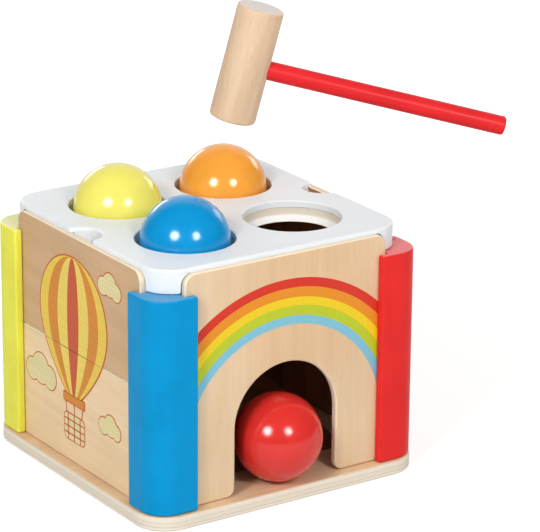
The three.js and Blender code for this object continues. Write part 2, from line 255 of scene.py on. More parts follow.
def bumped(add, height, strength, distance):
    """The bump of a pattern, whose heights reach over a distance in metres."""
    inputs = {"Height": height, "Strength": strength, "Distance": distance}
    return add("ShaderNodeBump", inputs).outputs[0]


def grain(add, along, pale, dark, figure=1.0, seed=(0, 0, 0), turn=(0, 0, 0), flecked=0.2):
    """Sliced wood: its colour, and the height of its fibres, drawn out along one axis."""
    def drawn_out(place, share):
        return shifted(add, place, tuple(share if axis == along else 1 for axis in "XYZ"))

    turned = shifted(add, on_toy(add), location=seed, turn=turn)
    streaks = drawn_out(turned, 0.035)
    broad = noise(add, streaks, scale=130 * figure, detail=5, rough=0.62, twist=0.7)
    fibres = noise(add, streaks, scale=1500, detail=3, rough=0.6)
    flecks = noise(add, drawn_out(turned, 0.16), scale=900)
    cloud = noise(add, turned, scale=26)
    middle = [(a + b) / 2 for a, b in zip(pale, dark)]
    colour = tones(add, broad, [(0.33, dark), (0.5, middle), (0.66, pale)])
    shade = tones(add, fibres, [(0.3, (0.93, 0.915, 0.89, 1)), (0.62, grey(1.02))])
    colour = mixed(add, 0.45, colour, shade, "MULTIPLY")
    pores = tones(add, flecks, [(0.27, (0.8, 0.72, 0.62, 1)), (0.37, grey(1))])
    colour = mixed(add, flecked, colour, pores, "MULTIPLY")
    tone = tones(add, cloud, [(0.3, (0.955, 0.945, 0.93, 1)), (0.7, grey(1.03))])
    return mixed(add, 1.0, colour, tone, "MULTIPLY"), fibres


def lacquered(add, shader, colour, fibres, gloss=0.42):
    """A thin clear lacquer that still lets the fibres be felt."""
    connect(shader, {
        "Base Color": colour, "Roughness": ranged(add, fibres, wanted=(gloss - 0.05, gloss + 0.09)),
        "Normal": bumped(add, fibres, 0.16, 0.00012), "Specular IOR Level": 0.32,
    })


def plain_wood(name, along, pale, dark, figure, seed, gloss=0.42, turn=(0, 0, 0)):
    """Wood with nothing on it but a lacquer, or bare where its gloss is a high roughness."""
    material, shader, add = new_material(name)
    colour, fibres = grain(add, along, pale, dark, figure, seed, turn)
    lacquered(add, shader, colour, fibres, gloss)
    return material


def ply_edge(name, axis, first, thickness, pale, dark, plies=3):
    """The sawn edge of plywood: thin layers stacked along an axis, with dark glue between them."""
    material, shader, add = new_material(name)
    place = on_toy(add)
    level = ranged(add, part_of(add, place, axis), (first, first + thickness), (0, plies / 2), clamp=False)
    wavering = worked(add, "MULTIPLY_ADD", noise(add, place, scale=38), 0.07, level)
    dust = noise(add, place, scale=850, detail=3, rough=0.7)
    layers = tones(add, worked(add, "FRACT", wavering), [
        (0.0, pale), (0.4, pale), (0.47, dark), (0.56, deepened(pale, 0.95)),
        (0.92, deepened(pale, 0.93)), (0.99, dark),
    ])
    ends = tones(add, dust, [(0.3, (0.9, 0.88, 0.85, 1)), (0.6, grey(1.02))])
    lacquered(add, shader, mixed(add, 0.5, layers, ends, "MULTIPLY"), dust, 0.5)
    return material


def rectangle(bm, width, height, radius, segments):
    """A flat rectangle about the middle, with its corners rounded."""
    signs = ((-1, -1), (1, -1), (1, 1), (-1, 1))
    corners = [(sx * width / 2, sy * height / 2, 0) for sx, sy in signs]
    bm.faces.new([bm.verts.new(c) for c in corners])
    if radius:
        round_corners(bm, corners, radius, segments)


bm = bmesh.new()
rectangle(bm, 2 * base_half, 2 * base_half, base_round, 16)
thicken(bm, (0, 0, base_top))
soften(bm, edges_square_to(bm, 2), base_sanding)
underside = min(bm.faces, key=lambda f: (f.calc_center_median().z, -f.calc_area()))
screw_holes = [(sx * screw_place, sy * screw_place) for sx in (-1, 1) for sy in (-1, 1)]
drill(bm, underside, screw_holes, [
    (screw_sink, 0), (screw_sink, sink_straight), (screw_bore, sink_end),
    (screw_bore, base_top - bore_skin),
])
bm.normal_update()
for face in bm.faces:
    face.material_index = 0 if abs(face.normal.z) > 0.9 else 1
base_materials = [
    plain_wood("birch_base", "X", srgb(233, 202, 166), srgb(223, 188, 148), 0.8, (0.31, 0.05, 0.2)),
    ply_edge("birch_base_edge", "Z", 0.0, base_top, srgb(238, 228, 210), srgb(212, 196, 172)),
]
finished("base_board", bm, base_materials, "bench", ["base_plate"])


# Corner posts
# Four beech posts, planed with one big round outer corner and a groove for each panel's end, then
# dipped in coloured lacquer that leaves soft edges. Each stands on the base on a screw.

post_foot, post_head = 0.0076, 0.1172
post_inner, post_outer = 0.0538, 0.0788
post_round, post_lip, groove_lip, post_sanding = 0.0137, 0.0014, 0.0008, 0.0011
groove_inner, groove_outer, groove_end = 0.0697, 0.0745, 0.0589
screw_bore_end = 0.0257
leg_place, dowel_bore, dowel_bore_end = 0.06085, 0.0033, 0.1069
toy_corners = {"back_right": (1, 1), "back_left": (-1, 1), "front_left": (-1, -1), "front_right": (1, -1)}
# Each paint: its name, its colour and how strong the painted sheen on its top is.
post_paints = {
    "back_right": ("orange", srgb(242, 152, 44), 0.12),
    "back_left": ("yellow", srgb(238, 235, 84), 0.4),
    "front_left": ("blue", srgb(0, 146, 205), 0.09),
    "front_right": ("red", srgb(230, 46, 44), 0.2),
}


def lacquer(name, colour, along, rough=0.3, telegraph=0.5, peel=0.35, shine=0.1, top_sheen=0.0):
    """Coloured lacquer on turned or planed wood: thin on the fibres, with a painted sheen that pales level
    faces.
    """
    material, shader, add = new_material(name)
    place = on_toy(add)
    stretch = tuple(0.04 if axis == along else 1 for axis in "XYZ")
    fibres = noise(add, shifted(add, place, stretch), scale=620, detail=3, rough=0.6)
    orange_peel = noise(add, place, scale=420, detail=1)
    pooled = noise(add, place, scale=45, detail=3)
    thin = [min(1, c * 1.04 + 0.001) for c in colour[:3]] + [1]
    tint = tones(add, pooled, [(0.3, deepened(colour, 0.93)), (0.5, colour), (0.72, thin)])
    strand = tones(add, fibres, [(0.3, grey(0.955)), (0.65, grey(1.02))])
    tint = mixed(add, telegraph, tint, strand, "MULTIPLY")
    # Level faces get a painted sheen: their colour is mixed towards pale grey, standing in for the white
    # backdrop that they mirror.
    if top_sheen:
        upward = part_of(add, add("ShaderNodeNewGeometry").outputs["Normal"], "Z")
        sheen_share = ranged(add, worked(add, "ABSOLUTE", upward), (0.75, 0.97), (0, top_sheen))
        tint = mixed(add, sheen_share, tint, (0.9, 0.9, 0.88, 1))
    height = worked(add, "MULTIPLY_ADD", fibres, telegraph, orange_peel)
    connect(shader, {
        "Base Color": tint, "Roughness": ranged(add, pooled, wanted=(rough - 0.03, rough + 0.05)),
        "Normal": bumped(add, height, 0.12 * peel, 0.0002), "Specular IOR Level": shine,
    })
    return material


def turn_round(bm, angle):
    """Turns a piece about the toy's upright middle line."""
    bmesh.ops.rotate(bm, cent=(0, 0, 0), matrix=Matrix.Rotation(angle, 3, "Z"), verts=bm.verts)


for quarter, corner in enumerate(toy_corners):
    bm = bmesh.new()
    outline = [
        (post_inner, post_inner), (groove_inner, post_inner), (groove_inner, groove_end),
        (groove_outer, groove_end), (groove_outer, post_inner), (post_outer, post_inner),
        (post_outer, post_outer),
    ]
    outline += [(y, x) for x, y in reversed(outline[1:-1])]
    bm.faces.new([bm.verts.new((x, y, post_foot)) for x, y in outline])
    round_corners(bm, [(post_outer, post_outer, post_foot)], post_round, 18)
    for edge, radius, segments in ((post_outer, post_lip, 4), (groove_outer, groove_lip, 3)):
        lips = [(edge, post_inner, post_foot), (post_inner, edge, post_foot)]
        round_corners(bm, lips, radius, segments)
    thicken(bm, (0, 0, post_head - post_foot))
    soften(bm, edges_square_to(bm, 2), post_sanding)
    ends = sorted(bm.faces, key=lambda f: -f.calc_area() if abs(f.normal.z) > 0.9 else 0)[:2]
    foot_face, head_face = sorted(ends, key=lambda f: f.calc_center_median().z)
    drill(bm, foot_face, [(screw_place, screw_place)], [(screw_bore, 0), (screw_bore, screw_bore_end)], 16)
    drill(bm, head_face, [(leg_place, leg_place)], [(dowel_bore, 0), (dowel_bore, dowel_bore_end)], 20)
    turn_round(bm, quarter * math.pi / 2)
    paint, colour, top_sheen = post_paints[corner]
    material = lacquer(f"{paint}_post_lacquer", colour, "Z", top_sheen=top_sheen)
    finished(f"post_{corner}_turned", bm, [material], "bench", [f"post_{corner}"])


# Base screws
# Zinc-plated countersunk wood screws with a cross recess, driven up through the base into the foot
# of each post. Only their heads show, and only from underneath.

screw_face, screw_rim, rim_chamfer = 0.0004, 0.00365, 0.0001
thread_root, thread_crest = 0.00130, 0.00175
thread_start, thread_end, thread_pitch, thread_flank = 0.004, 0.0232, 0.0013, 0.0004
screw_tip = [(0.00115, 0.0240), (0.0003, 0.0254)]
recess_arm, recess_wing, recess_depth, recess_taper = 0.0023, 0.00055, 0.0014, 0.55
first_turn, next_turn = 0.4, 0.9


def lathe(bm, geom, steps, centre=(0, 0, 0)):
    """Spins a profile all the way round an upright line."""
    bmesh.ops.spin(
        bm, geom=geom, cent=centre, axis=(0, 0, 1), angle=2 * math.pi, steps=steps, use_merge=True,
    )


def closed_loop(bm, verts):
    """Joins points in a closed loop of edges."""
    return [bm.edges.new(pair) for pair in zip(verts, verts[1:] + verts[:1])]


screw_zinc, shader, add = new_material("zinc_plate")
swirl = noise(add, on_toy(add), scale=700, detail=4, rough=0.7)
zinc = tones(add, swirl, [
    (0.3, srgb(150, 152, 158)), (0.55, srgb(186, 188, 192)), (0.75, srgb(205, 203, 192)),
])
dull = ranged(add, swirl, wanted=(0.22, 0.45))
connect(shader, {"Base Color": zinc, "Roughness": dull, "Metallic": 1.0})
for quarter, (corner, (sx, sy)) in enumerate(toy_corners.items()):
    bm = bmesh.new()
    profile = [
        (screw_rim, screw_face), (screw_rim + rim_chamfer, screw_face + rim_chamfer),
        (thread_crest, sink_end),
    ]
    thread = thread_start
    while thread < thread_end:
        profile += [
            (thread_root, thread), (thread_crest, thread + thread_flank),
            (thread_root, thread + 2 * thread_flank),
        ]
        thread += thread_pitch
    chain = [bm.verts.new((r, 0, z)) for r, z in profile + screw_tip]
    lathe(bm, chain + [bm.edges.new(pair) for pair in zip(chain, chain[1:])], 24)
    bmesh.ops.remove_doubles(bm, verts=bm.verts, dist=hair)
    tip = [e for e in bm.edges if e.is_boundary and e.verts[0].co.z > thread_start]
    bmesh.ops.contextual_create(bm, geom=tip)
    rim = [e for e in bm.edges if e.is_boundary]
    arm, wing = recess_arm, recess_wing
    cross = [
        (arm, -wing), (arm, wing), (wing, wing), (wing, arm), (-wing, arm), (-wing, wing),
        (-arm, wing), (-arm, -wing), (-wing, -wing), (-wing, -arm), (wing, -arm), (wing, -wing),
    ]
    recess = closed_loop(bm, [bm.verts.new((x, y, screw_face)) for x, y in cross])
    fill(bm, rim + recess)
    deep = bmesh.ops.extrude_edge_only(bm, edges=recess)["geom"]
    bmesh.ops.scale(bm, vec=(recess_taper, recess_taper, 1), verts=verts_of(deep))
    bmesh.ops.translate(bm, vec=(0, 0, recess_depth), verts=verts_of(deep))
    bmesh.ops.contextual_create(bm, geom=edges_of(deep))
    turn_round(bm, first_turn + next_turn * quarter)
    bmesh.ops.translate(bm, vec=(sx * screw_place, sy * screw_place, 0), verts=bm.verts)
    finished(f"screw_{corner}", bm, [screw_zinc], "bench", [f"base_screw_{corner}"])


# Front panel
# A sheet of 4 mm birch plywood held in the posts' grooves, with a round-headed gate sawn in it and a
# rainbow printed on its face. Like the other panels it is bare inside, where a darker, redder tone is
# painted shade for the dark inside of the box.

panel_outer, panel_inner = 0.0742, 0.0700
panel_thickness, face_slack = panel_outer - panel_inner, 0.0001
panel_half = 0.0586
panel_foot, panel_head = 0.0076, 0.1273
panel_round, panel_sanding = 0.006, 0.0011
gate_half, gate_spring, gate_round = 0.0299, 0.0418, 0.0045
bow_middle, bow_low = -0.0011, 0.0332
bow_edges = [0.0577, 0.0619, 0.0669, 0.0714, 0.0764, 0.0813]
bow_inks = [
    srgb(128, 193, 215), srgb(189, 202, 40), srgb(240, 206, 30), srgb(232, 144, 34), srgb(217, 51, 33),
]
bow_span = 0.1
dark_patch_x, dark_patch_z, dark_patch_half_width, dark_patch_half_height = 0.008, 0.1, 0.045, 0.05
panel_plies = srgb(242, 228, 204), srgb(222, 202, 172)


def sand_rims(bm, axis, width):
    """Rounds the edges of a board's two faces, and tells its outer face, edge and inner face apart."""
    soften(bm, edges_square_to(bm, axis), width)
    bm.normal_update()
    outer_face, sawn_edge, inner_face = 0, 1, 2
    for face in bm.faces:
        inner = abs(face.calc_center_median()[axis]) < panel_inner + face_slack
        level = abs(face.normal[axis]) >= 0.85
        face.material_index = sawn_edge if not level else inner_face if inner else outer_face


bm = bmesh.new()
spring = bm.verts.new((-gate_half, -panel_outer, gate_spring))
arch = bmesh.ops.spin(
    bm, geom=[spring], cent=(0, -panel_outer, gate_spring), axis=(0, 1, 0), angle=math.pi, steps=40,
)["geom_last"]
outline = [
    (gate_half, panel_foot), (panel_half, panel_foot), (panel_half, panel_head),
    (-panel_half, panel_head), (-panel_half, panel_foot), (-gate_half, panel_foot),
]
chain = verts_of(arch) + [bm.verts.new((x, -panel_outer, z)) for x, z in outline] + [spring]
for pair in zip(chain, chain[1:]):
    bm.edges.new(pair)
bmesh.ops.contextual_create(bm, geom=list(bm.edges))
round_corners(bm, [(s * gate_half, -panel_outer, panel_foot) for s in (-1, 1)], gate_round, 8)
round_corners(bm, [(s * panel_half, -panel_outer, panel_head) for s in (-1, 1)], panel_round, 8)
thicken(bm, (0, panel_thickness, 0))
sand_rims(bm, 1, panel_sanding)

front_veneer, shader, add = new_material("birch_front_print")
pale, dark = srgb(232, 205, 170), srgb(226, 196, 158)
colour, fibres = grain(add, "Z", pale, dark, seed=(0.7, 0.2, 0.45))
place = on_toy(add)
# The face is made darker and more orange about its middle, fading out towards its edges.
dark_patch = shifted(
    add, place, scale=(1 / dark_patch_half_width, 0, 1 / dark_patch_half_height),
    location=(-dark_patch_x / dark_patch_half_width, 0, -dark_patch_z / dark_patch_half_height),
)
dark_patch = measured(add, "LENGTH", dark_patch)
dark_patch = ranged(add, dark_patch, (0.5, 1.25), (1, 0), interpolation_type="SMOOTHSTEP")
colour = mixed(add, dark_patch, colour, (0.97, 0.9, 0.83, 1), "MULTIPLY")
centred = shifted(add, place, scale=(1, 0, 1), location=(-bow_middle, 0, -bow_low))
reach = measured(add, "LENGTH", centred)
span = ranged(add, reach, (0, bow_span))
bow = tones(add, span, [(edge / bow_span, ink) for edge, ink in zip(bow_edges, bow_inks)], "CONSTANT")
printed = worked(add, "GREATER_THAN", reach, bow_edges[0])
facing = part_of(add, add("ShaderNodeNewGeometry").outputs["Normal"], "Y")
for limit in (
    worked(add, "LESS_THAN", reach, bow_edges[-1]),
    worked(add, "LESS_THAN", facing, -0.8),
    worked(add, "GREATER_THAN", part_of(add, centred, "Z"), 0.0),
):
    printed = worked(add, "MULTIPLY", printed, limit)
inked = tones(add, fibres, [(0.3, grey(0.965)), (0.6, grey(1.01))])
bow = mixed(add, 0.8, bow, inked, "MULTIPLY")
lacquered(add, shader, mixed(add, printed, colour, bow), fibres)
# Its darker, redder tone is painted shade for the dark inside of the box.
shaded_inner_veneer = plain_wood(
    "inner_veneer_painted_shade", "Z", srgb(188, 126, 88), srgb(166, 106, 72), 0.9, (0.1, 0.8, 0.6), 0.62,
)
front_edge = ply_edge("birch_panel_edge", "Y", -panel_outer, panel_thickness, *panel_plies)
front_materials = [front_veneer, front_edge, shaded_inner_veneer]
finished("front_sheet", bm, front_materials, "bench", ["front_panel"])


# Back panel
# The same plywood sheet as the front, whole and unprinted, with its two top corners sawn round. It is
# held in the grooves of the two back posts.

def plain_board(at, low, high, inward, axis, sanding, round_top=True):
    """A rectangular board, where at gives a point of its outer face for a side and a height."""
    bm = bmesh.new()
    outline = [at(-1, low), at(1, low), at(1, high), at(-1, high)]
    bm.faces.new([bm.verts.new(p) for p in outline])
    if round_top:
        round_corners(bm, outline[2:], panel_round, 8)
    thicken(bm, inward)
    sand_rims(bm, axis, sanding)
    return bm


bm = plain_board(
    lambda s, z: (s * panel_half, panel_outer, z), panel_foot, panel_head, (0, -panel_thickness, 0), 1,
    panel_sanding,
)
back_materials = [
    plain_wood("birch_back", "Z", srgb(235, 208, 171), srgb(226, 194, 154), 1.0, (1.9, 0.6, 0.1)),
    ply_edge("birch_back_edge", "Y", panel_inner, panel_thickness, *panel_plies),
    shaded_inner_veneer,
]
finished("back_sheet", bm, back_materials, "bench", ["back_panel"])


# Side boards
# Each side is two boards with level grain, the upper one rounded at its top corners. They meet in a
# fine open seam at mid height, and their ends sit in the posts' grooves.

seam_low, seam_high = 0.0673, 0.0676
side_plies = srgb(240, 226, 202), srgb(220, 200, 170)
side_boards = {
    "lower": (panel_foot, seam_low, 0.0005, srgb(246, 219, 178), srgb(236, 206, 163), 0.37),
    "upper": (seam_high, panel_head, 0.0009, srgb(214, 177, 136), srgb(204, 166, 124), 2.81),
}
for side, sign, edge_start in (("left", -1, -panel_outer), ("right", 1, panel_inner)):
    side_edge = ply_edge(f"side_edge_{side}", "X", edge_start, panel_thickness, *side_plies)
    for level, (low, high, sanding, pale, dark, seed) in side_boards.items():
        bm = plain_board(
            lambda s, z: (sign * panel_outer, s * panel_half, z), low, high,
            (-sign * panel_thickness, 0, 0), 0, sanding, round_top=level == "upper",
        )
        board = plain_wood(
            f"side_veneer_{side}_{level}", "Y", pale, dark, 0.7, (sign, 0.4, seed),
            turn=(0.05 * sign, 0, 0),
        )
        materials = [board, side_edge, shaded_inner_veneer]
        finished(f"{side}_board_{level}", bm, materials, "bench", [f"{side}_panel_{level}"])


# Printed picture
# A balloon with three clouds, screen-printed in flat inks on the left side's boards. The inks lie on
# each other in thin coats and stop at the open seam between the boards.

ink_face, ink_sunk = -0.07422, 0.00004
crown_radius, crown_tuck, crown_drop, mouth_level = 0.0285, 0.52, 1.38, -0.0365
balloon_middle, balloon_height, balloon_size = -0.0045, 0.0845, 1.12
band_level, band_width, band_height, band_line = 0.0412, 0.0215, 0.0054, 0.0012
band_rounds, basket_rounds = (0.0012, 0.0008), (0.0032, 0.0026)
rope_level, rope_width, rope_length, rope_lean, rope_aside = 0.0362, 0.0008, 0.0080, 0.18, 0.0078
basket_width, basket_height, basket_low = 0.0205, 0.0150, 0.0185
basket_middle = basket_low + basket_height / 2
basket_line, weave_width, weave_margin, weave_aside = 0.0013, 0.0006, 0.0016, 0.0058
cloud_line, puff_step = 0.0006, 0.000004
cloud_puffs = [
    (-0.0460, 0.0455, 0.0058), (-0.0375, 0.0480, 0.0082), (-0.0285, 0.0455, 0.0062),
    (0.0245, 0.1105, 0.0046), (0.0308, 0.1125, 0.0060), (0.0368, 0.1100, 0.0044),
    (0.0240, 0.0375, 0.0044), (0.0305, 0.0392, 0.0056), (0.0360, 0.0372, 0.0040),
]
coats = {
    "outline": (0.00005, srgb(205, 92, 48), (1.028, 1.022)),
    "yellow": (0.00014, srgb(240, 206, 84), (1, 1)),
    "orange": (0.00018, srgb(222, 142, 52), (0.76, 0.998)),
    "lemon": (0.00022, srgb(242, 214, 100), (0.47, 0.996)),
    "red": (0.00026, srgb(206, 92, 56), (0.17, 0.994)),
    "cream": (0.00014, srgb(232, 220, 164), None),
    "lines": (0.00030, srgb(196, 86, 46), None),
}


def ink(name, colour):
    """Flat screen ink: a little uneven, with the wood's fibres just showing."""
    material, shader, add = new_material(name)
    fibres = noise(add, shifted(add, on_toy(add), scale=(1, 0.04, 1)), scale=900, detail=3)
    uneven = tones(add, fibres, [(0.3, deepened(colour, 0.9)), (0.62, colour)])
    lacquered(add, shader, uneven, fibres, 0.48)
    return material


def cut_level(bm, level, **settings):
    """Cuts all that is drawn along a level line."""
    everything = [*bm.verts, *bm.edges, *bm.faces]
    bmesh.ops.bisect_plane(bm, geom=everything, dist=hair / 10, plane_co=(0, level, 0), **settings)


def balloon(bm, wide, tall):
    """The envelope's outline, a round crown drawn in to a mouth, scaled about its middle."""
    crown = bmesh.ops.create_circle(bm, cap_ends=True, segments=72, radius=crown_radius)["verts"]
    for v in crown:
        if v.co.y < 0:
            drop = -v.co.y / crown_radius
            v.co.x *= 1 - crown_tuck * drop * drop
            v.co.y *= crown_drop
    cut_level(bm, mouth_level, plane_no=(0, -1, 0), clear_outer=True)
    bmesh.ops.scale(bm, vec=(wide * balloon_size, tall * balloon_size, 1), verts=bm.verts)
    bmesh.ops.translate(bm, vec=(balloon_middle, balloon_height, 0), verts=bm.verts)


def oblong(bm, x, y, width, height, lean=0.0, radius=0.0):
    """A small flat bar or block."""
    before = set(bm.verts)
    rectangle(bm, width, height, radius, 4)
    drawn = [v for v in bm.verts if v not in before]
    spot = Matrix.Translation((x, y, 0)) @ Matrix.Rotation(lean, 4, "Z")
    bmesh.ops.transform(bm, matrix=spot, verts=drawn)


for coat, (height, colour, envelope) in coats.items():
    bm = bmesh.new()
    if envelope:
        balloon(bm, *envelope)
    if coat == "outline":
        oblong(bm, balloon_middle, band_level, band_width, band_height, radius=band_rounds[0])
        oblong(bm, balloon_middle, basket_middle, basket_width, basket_height, radius=basket_rounds[0])
        for side in (-1, 0, 1):
            x = balloon_middle + side * rope_aside
            oblong(bm, x, rope_level, rope_width, rope_length, -side * rope_lean)
    if coat == "orange":
        width, tall = band_width - band_line, band_height - band_line
        oblong(bm, balloon_middle, band_level, width, tall, radius=band_rounds[1])
    if coat == "cream":
        width, tall = basket_width - basket_line, basket_height - basket_line
        oblong(bm, balloon_middle, basket_middle, width, tall, radius=basket_rounds[1])
    if coat == "lines":
        for row in (0.25, 0.5, 0.75):
            y = basket_low + basket_height * row
            oblong(bm, balloon_middle, y, basket_width - weave_margin, weave_width)
        for side in (-1, 0, 1):
            x = balloon_middle + side * weave_aside
            oblong(bm, x, basket_middle, weave_width, basket_height - weave_margin)
    if coat in ("outline", "cream"):
        line = cloud_line if coat == "outline" else 0
        for puff, (x, y, radius) in enumerate(cloud_puffs):
            spot = Matrix.Translation((x, y, puff_step * (puff % 3)))
            bmesh.ops.create_circle(bm, cap_ends=True, segments=40, radius=radius + line, matrix=spot)
    for level in (seam_low, seam_high):
        cut_level(bm, level, plane_no=(0, 1, 0))
    gap = [f for f in bm.faces if seam_low < f.calc_center_median().y < seam_high]
    bmesh.ops.delete(bm, geom=gap, context="FACES")
    thicken(bm, (0, 0, height + ink_sunk))
    stand = Matrix(((0, 0, -1, ink_face + ink_sunk), (-1, 0, 0, 0), (0, 1, 0, 0), (0, 0, 0, 1)))
    bmesh.ops.transform(bm, matrix=stand, verts=bm.verts)
    finished(f"picture_{coat}", bm, [ink(f"screen_ink_{coat}", colour)], "bench")


# Ramp and its cleat
# A thin plywood floor that slopes to the gate, sawn to a feather edge at its foot, with its back
# edge on a softwood cleat that is pinned to the base. Both are bare wood, and the ramp's dark brown
# is painted shade for the dark inside of the box.

ramp_lean, ramp_thickness = math.radians(12), 0.004
slope = math.tan(ramp_lean)
floor = 0.0076
ramp_foot, ramp_back = -0.0490, 0.0694
ramp_heel = ramp_foot + ramp_thickness / math.sin(ramp_lean)
cleat_front, cleat_back, cleat_gap = 0.0604, 0.0684, 0.0003
# The ramp's dark brown is painted shade for the dark inside of the box.
shaded_ramp_ply = plain_wood(
    "ramp_ply_painted_shade", "Y", srgb(138, 92, 62), srgb(116, 74, 48), 0.8, (0.2, 1.3, 0.9), 0.6,
)
bare_pine = plain_wood(
    "bare_cleat_pine", "X", srgb(228, 200, 158), srgb(200, 160, 112), 0.6, (0.9, 0.3, 1.1), 0.62,
)
timbers = {
    "ramp_ply": (0.0532, shaded_ramp_ply, "ramp_board", "panel_plywood", 0.0002, [
        (ramp_foot, floor), (ramp_heel, floor), (ramp_back, floor + (ramp_back - ramp_heel) * slope),
        (ramp_back, floor + (ramp_back - ramp_foot) * slope),
    ]),
    "cleat_pine": (0.045, bare_pine, "ramp_cleat", "inner_wood", 0.0004, [
        (cleat_front, floor), (cleat_back, floor),
        (cleat_back, floor - cleat_gap + (cleat_back - ramp_heel) * slope),
        (cleat_front, floor - cleat_gap + (cleat_front - ramp_heel) * slope),
    ]),
}
for name, (half, wood, node, slot, worn_edge, outline) in timbers.items():
    bm = bmesh.new()
    bm.faces.new([bm.verts.new((-half, y, z)) for y, z in outline])
    thicken(bm, (half * 2, 0, 0))
    soften(bm, list(bm.edges), worn_edge, 2)
    finished(name, bm, [wood], "bench", [node])


# Top dowels
# Four beech pins, glued half in the head of each post and half in a leg of the lid. They are shut
# in when the toy is put together, so they keep their plain turned form.

beech = plain_wood(
    "beech_dowel", "Z", srgb(228, 194, 152), srgb(205, 165, 122), 1.2, (0.5, 0.5, 0.2), 0.6,
)
for corner in toy_corners:
    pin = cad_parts[f"top_dowel_{corner}"]
    pin.data.materials.clear()
    pin.data.materials.append(beech)


# Lid
# One moulding in satin white plastic: a plate with four ball holes and two finger notches, and under
# it a collar for each ring, a skirt behind each notch and four legs, which stand on the posts' dowels.

plate_half, plate_round = 0.0719, 0.016
core_half, core_low, core_notch_corner = 0.0697, 0.1261, 0.0006
rim_low, plate_high = 0.12736, 0.1296
rim_fillet, hole_fillet = 0.0013, 0.0008
notch_radius, notch_corner, notch_draft = 0.0105, 0.0016, 0.18
ball_place, hole_radius, hole_sides = 0.0316, 0.0249, 72
collar_inner, collar_outer, collar_low, collar_high = 0.0264, 0.0282, 0.1184, 0.1270
skirt_inner, skirt_outer, skirt_foot, skirt_low, skirt_round = 0.01053, 0.0121, 0.0108, 0.1196, 0.0003
skirt_reach = math.radians(77.2)
leg_foot, leg_shoulder, leg_head, leg_chamfer = 0.1175, 0.1195, 0.1284, 0.0004
leg_inner, leg_inside, leg_shy, leg_bore_end = 0.0555, 0.0696, 0.00002, 0.1248
panel_clear, panel_clear_at, panel_clear_rise = 0.0069, (0.0526, 0.1210), 0.0066


def arc(x, y, radius, start, end, steps):
    """Points along an arc between two angles, in degrees."""
    turns = [math.radians(start + (end - start) * step / steps) for step in range(steps + 1)]
    return [(x + radius * math.cos(turn), y + radius * math.sin(turn)) for turn in turns]


def lid_outline(set_in, notch_in, corner):
    """The lid's edge from above, drawn in by a distance at its sides and another in its notches."""
    side = plate_half - set_in
    centre = plate_half - plate_round
    bite = notch_radius + notch_in
    away = math.sqrt((bite + corner) ** 2 - (set_in + corner) ** 2)
    lean = math.degrees(math.atan2(away, set_in + corner))
    half = arc(side - corner, -away, corner, 0, lean, 5)
    half += arc(plate_half, 0, bite, 180 + lean, 180 - lean, 26)[1:-1]
    half += arc(side - corner, away, corner, -lean, 0, 5)
    half += arc(centre, centre, plate_round - set_in, 0, 90, 14)
    half += arc(-centre, centre, plate_round - set_in, 90, 180, 14)
    return half + [(-x, -y) for x, y in half]


def drafted(z):
    """How far the leaning wall of a notch stands out into it at a height."""
    return notch_draft * (z - plate_high)


def fillet(radius, steps):
    """How far a rounded top edge is drawn in, and the height it has reached, at each step."""
    turns = [step / steps * math.pi / 2 for step in range(steps + 1)]
    return [(radius * (1 - math.cos(t)), plate_high - radius * (1 - math.sin(t))) for t in turns]


def at_height(points, z):
    """Points of a plan at a height."""
    return [(x, y, z) for x, y in points]


def skin(bm, rings):
    """Closed rings of points joined in turn by faces. Gives the edges of the first and last."""
    loops = [[bm.verts.new(p) for p in ring] for ring in rings]
    for low, high in zip(loops, loops[1:]):
        for i in range(len(low)):
            bm.faces.new((low[i - 1], low[i], high[i], high[i - 1]))
    ends = loops[0], loops[-1]
    return [[bm.edges.get((loop[i - 1], loop[i])) for i in range(len(loop))] for loop in ends]


lid = bmesh.new()
core_set_in = plate_half - core_half
rings = [
    at_height(lid_outline(core_set_in, drafted(z), core_notch_corner), z) for z in (core_low, rim_low)
]
rings.append(at_height(lid_outline(0, drafted(rim_low), notch_corner), rim_low))
for drawn, z in fillet(rim_fillet, 6):
    rings.append(at_height(lid_outline(drawn, drawn + drafted(z), notch_corner - drawn), z))
under_rims, over_rims = skin(lid, rings)
hole_places = [(sx * ball_place, sy * ball_place) for sx in (-1, 1) for sy in (-1, 1)]
for x, y in hole_places:
    rings = []
    for opened, z in [(0, core_low)] + fillet(hole_fillet, 5):
        circle = arc(x, y, hole_radius + opened, 0, 360, hole_sides)[:-1]
        rings.append(at_height(circle, z))
    low_rim, high_rim = skin(lid, rings)
    under_rims += low_rim
    over_rims += high_rim
fill(lid, under_rims, normal=(0, 0, -1))
fill(lid, over_rims, normal=(0, 0, 1))

collar = [
    (collar_inner, collar_low), (collar_outer, collar_low), (collar_outer, collar_high),
    (collar_inner, collar_high),
]
for x, y in hole_places:
    ring = [lid.verts.new((x + r, y, z)) for r, z in collar]
    lathe(lid, ring + closed_loop(lid, ring), hole_sides, (x, y, 0))

skirt = [
    (skirt_inner, collar_high), (skirt_inner, skirt_low + skirt_round), (skirt_foot, skirt_low),
    (skirt_outer - skirt_round, skirt_low), (skirt_outer, skirt_low + skirt_round),
    (skirt_outer, collar_high),
]
for sx in (-1, 1):
    start = math.pi * (sx > 0) - skirt_reach
    ring = []
    for r, z in skirt:
        r += drafted(z)
        ring.append(lid.verts.new((sx * plate_half + r * math.cos(start), r * math.sin(start), z)))
    wall = lid.faces.new(ring)
    bmesh.ops.spin(
        lid, geom=[wall, *wall.edges, *ring], cent=(sx * plate_half, 0, 0), axis=(0, 0, 1),
        angle=2 * skirt_reach, steps=26,
    )


